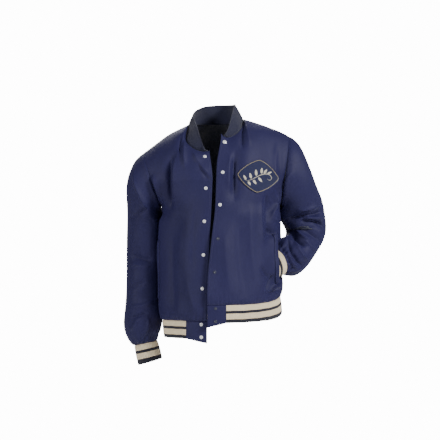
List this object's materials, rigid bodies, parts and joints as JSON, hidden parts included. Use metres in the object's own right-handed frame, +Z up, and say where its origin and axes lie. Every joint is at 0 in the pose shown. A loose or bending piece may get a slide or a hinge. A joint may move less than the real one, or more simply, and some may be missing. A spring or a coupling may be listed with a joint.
{
  "type": "varsity jacket",
  "caption": "Worn varsity jacket, hollow and open at the front, with ribbed striped hem and cuffs, a stand collar and a felt chest badge.",
  "frame": {"origin": "middle of the neck's base, where the wearer's shoulders and neck carry the jacket", "axes": "+X towards the wearer's left, -Y towards the open front, +Z up"},
  "size_m": [0.6238, 0.3133, 0.8009],
  "materials": {
    "twill": "smooth navy polyester twill with a soft sheen",
    "collar_knit": "fine navy rib knit",
    "rib_knit": "cream and navy striped rib knit",
    "felt": "navy felt",
    "snap_metal": "polished nickel"
  },
  "bodies": {
    "root": {"front_right": "twill", "front_left": "twill", "back": "twill", "topsleeve_right": "twill", "undersleeve_right": "twill", "topsleeve_left": "twill", "undersleeve_left": "twill", "collar": "collar_knit", "hem_end_right": "twill", "hem_end_left": "twill", "hem_band": "rib_knit", "cuff_right": "rib_knit", "cuff_left": "rib_knit", "pocket_welt_right": "twill", "pocket_welt_left": "twill", "chest_badge": "felt", "snap_right_1": "snap_metal", "snap_right_2": "snap_metal", "snap_right_3": "snap_metal", "snap_right_4": "snap_metal", "snap_right_5": "snap_metal", "snap_right_6": "snap_metal", "snap_right_7": "snap_metal", "snap_left_1": "snap_metal", "snap_left_2": "snap_metal", "snap_left_3": "snap_metal", "snap_left_4": "snap_metal", "snap_left_5": "snap_metal", "snap_left_6": "snap_metal", "snap_left_7": "snap_metal"}
  },
  "joints": []
}
